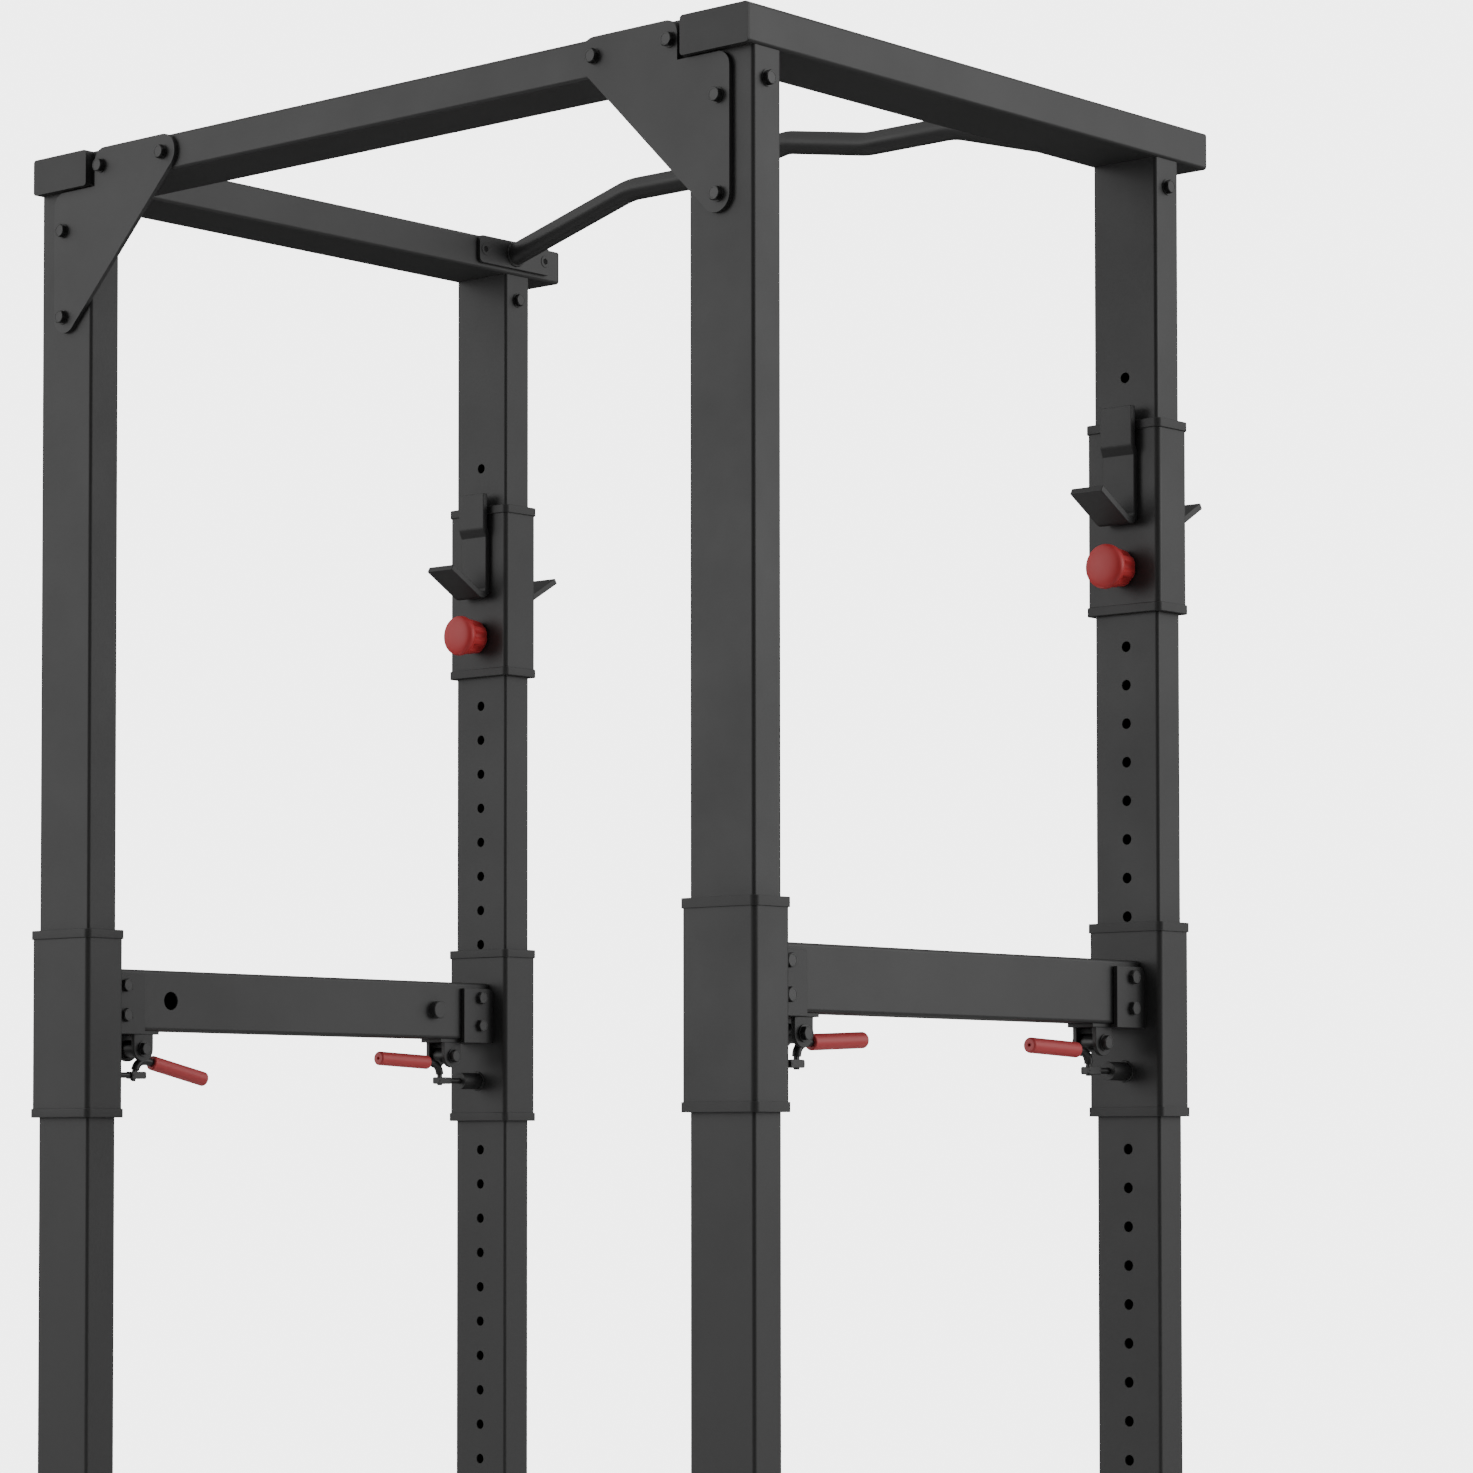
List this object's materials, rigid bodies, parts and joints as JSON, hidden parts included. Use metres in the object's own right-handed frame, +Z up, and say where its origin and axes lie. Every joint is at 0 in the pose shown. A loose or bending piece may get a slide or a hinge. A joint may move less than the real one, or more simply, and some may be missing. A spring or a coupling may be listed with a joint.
{
  "type": "power cage",
  "caption": "Steel power cage: upright posts with pin holes, sliding bar hooks and safety rails on spring pins, gusset-braced rear, cambered pull-up bar, open front.",
  "frame": {"origin": "on the floor under the middle of the base beams", "axes": "+X from the left side to the right side seen from the rear, +Y from the closed rear to the open front, +Z up"},
  "size_m": [1.278, 1.12, 2.3326],
  "materials": {
    "frame_coat": "charcoal powder coat, fine satin texture",
    "bar_coat": "near-black powder coat, satin",
    "black_steel": "black oxide, slight sheen",
    "red_plastic": "dull red moulded plastic",
    "black_plastic": "black moulded nylon",
    "foot_rubber": "matt black rubber",
    "zinc": "bright zinc plate"
  },
  "bodies": {
    "frame": {"upright_rear_left": "frame_coat", "upright_rear_right": "frame_coat", "upright_front_left": "frame_coat", "upright_front_right": "frame_coat", "top_beam_left": "frame_coat", "top_beam_right": "frame_coat", "rear_top_crossbeam": "frame_coat", "base_beam_left": "frame_coat", "base_beam_right": "frame_coat", "rear_base_crossbeam": "frame_coat", "gusset_plates": "frame_coat", "beam_end_caps": "black_plastic", "rubber_feet": "foot_rubber", "pullup_bar": "bar_coat", "frame_bolts": "black_steel"},
    "safety_left": {"safety_rail_left": "frame_coat", "safety_sleeve_rear_left": "frame_coat", "safety_sleeve_front_left": "frame_coat", "safety_liners_left": "black_plastic", "safety_brackets_left": "frame_coat", "safety_bolts_left": "black_steel", "lock_spring_rear_left": "zinc", "lock_spring_front_left": "zinc"},
    "lever_rear_left": {"lever_rear_left": "black_steel", "grip_rear_left": "red_plastic"},
    "lock_pin_rear_left": {"lock_pin_rear_left": "black_steel"},
    "lever_front_left": {"lever_front_left": "black_steel", "grip_front_left": "red_plastic"},
    "lock_pin_front_left": {"lock_pin_front_left": "black_steel"},
    "hook_left": {"hook_sleeve_left": "frame_coat", "hook_liner_left": "black_plastic", "hook_inner_left": "frame_coat", "hook_outer_left": "frame_coat", "pull_spring_left": "zinc"},
    "pull_plunger_left": {"pull_knob_left": "red_plastic", "pull_pin_left": "black_steel"},
    "safety_right": {"safety_rail_right": "frame_coat", "safety_sleeve_rear_right": "frame_coat", "safety_sleeve_front_right": "frame_coat", "safety_liners_right": "black_plastic", "safety_brackets_right": "frame_coat", "safety_bolts_right": "black_steel", "lock_spring_rear_right": "zinc", "lock_spring_front_right": "zinc"},
    "lever_rear_right": {"lever_rear_right": "black_steel", "grip_rear_right": "red_plastic"},
    "lock_pin_rear_right": {"lock_pin_rear_right": "black_steel"},
    "lever_front_right": {"lever_front_right": "black_steel", "grip_front_right": "red_plastic"},
    "lock_pin_front_right": {"lock_pin_front_right": "black_steel"},
    "hook_right": {"hook_sleeve_right": "frame_coat", "hook_liner_right": "black_plastic", "hook_inner_right": "frame_coat", "hook_outer_right": "frame_coat", "pull_spring_right": "zinc"},
    "pull_plunger_right": {"pull_knob_right": "red_plastic", "pull_pin_right": "black_steel"}
  },
  "joints": [
    {"name": "safety_left_slide", "type": "slide", "parent": "frame", "child": "safety_left", "axis": [0, 0, 1], "range_m": [-0.6, 0.3]},
    {"name": "safety_right_slide", "type": "slide", "parent": "frame", "child": "safety_right", "axis": [0, 0, 1], "range_m": [-0.6, 0.3]},
    {"name": "hook_left_slide", "type": "slide", "parent": "frame", "child": "hook_left", "axis": [0, 0, 1], "range_m": [-0.35, 0.25]},
    {"name": "hook_right_slide", "type": "slide", "parent": "frame", "child": "hook_right", "axis": [0, 0, 1], "range_m": [-0.35, 0.25]},
    {"name": "lever_rear_left_turn", "type": "hinge", "parent": "safety_left", "child": "lever_rear_left", "pos_m": [-0.58, -0.2985, 1.0556], "axis": [1, 0, 0], "range_deg": [0, 23.5], "stiffness_Nm_per_rad": 2, "springref_deg": -11.46},
    {"name": "lock_pin_rear_left_slide", "type": "slide", "parent": "safety_left", "child": "lock_pin_rear_left", "axis": [0, 1, 0], "range_m": [0, 0.0053], "deforming": ["lock_spring_rear_left"]},
    {"name": "lever_front_left_turn", "type": "hinge", "parent": "safety_left", "child": "lever_front_left", "pos_m": [-0.58, 0.2985, 1.0556], "axis": [-1, 0, 0], "range_deg": [0, 8.5], "stiffness_Nm_per_rad": 2, "springref_deg": -11.46},
    {"name": "lock_pin_front_left_slide", "type": "slide", "parent": "safety_left", "child": "lock_pin_front_left", "axis": [0, -1, 0], "range_m": [0, 0.0053], "deforming": ["lock_spring_front_left"]},
    {"name": "lever_rear_right_turn", "type": "hinge", "parent": "safety_right", "child": "lever_rear_right", "pos_m": [0.58, -0.2985, 1.0556], "axis": [1, 0, 0], "range_deg": [0, 8.5], "stiffness_Nm_per_rad": 2, "springref_deg": -11.46},
    {"name": "lock_pin_rear_right_slide", "type": "slide", "parent": "safety_right", "child": "lock_pin_rear_right", "axis": [0, 1, 0], "range_m": [0, 0.0053], "deforming": ["lock_spring_rear_right"]},
    {"name": "lever_front_right_turn", "type": "hinge", "parent": "safety_right", "child": "lever_front_right", "pos_m": [0.58, 0.2985, 1.0556], "axis": [-1, 0, 0], "range_deg": [0, 8.5], "stiffness_Nm_per_rad": 2, "springref_deg": -11.46},
    {"name": "lock_pin_front_right_slide", "type": "slide", "parent": "safety_right", "child": "lock_pin_front_right", "axis": [0, -1, 0], "range_m": [0, 0.0053], "deforming": ["lock_spring_front_right"]},
    {"name": "pull_plunger_left_slide", "type": "slide", "parent": "hook_left", "child": "pull_plunger_left", "axis": [0, -1, 0], "range_m": [0, 0.007], "stiffness_N_per_m": 1500, "springref_m": -0.01, "deforming": ["pull_spring_left"]},
    {"name": "pull_plunger_right_slide", "type": "slide", "parent": "hook_right", "child": "pull_plunger_right", "axis": [0, -1, 0], "range_m": [0, 0.007], "stiffness_N_per_m": 1500, "springref_m": -0.01, "deforming": ["pull_spring_right"]}
  ],
  "couplings": [
    {"joint": "lock_pin_rear_left_slide", "follows": "lever_rear_left_turn", "m_per_rad": 0.012873},
    {"joint": "lock_pin_front_left_slide", "follows": "lever_front_left_turn", "m_per_rad": 0.035591},
    {"joint": "lock_pin_rear_right_slide", "follows": "lever_rear_right_turn", "m_per_rad": 0.035591},
    {"joint": "lock_pin_front_right_slide", "follows": "lever_front_right_turn", "m_per_rad": 0.035591}
  ]
}
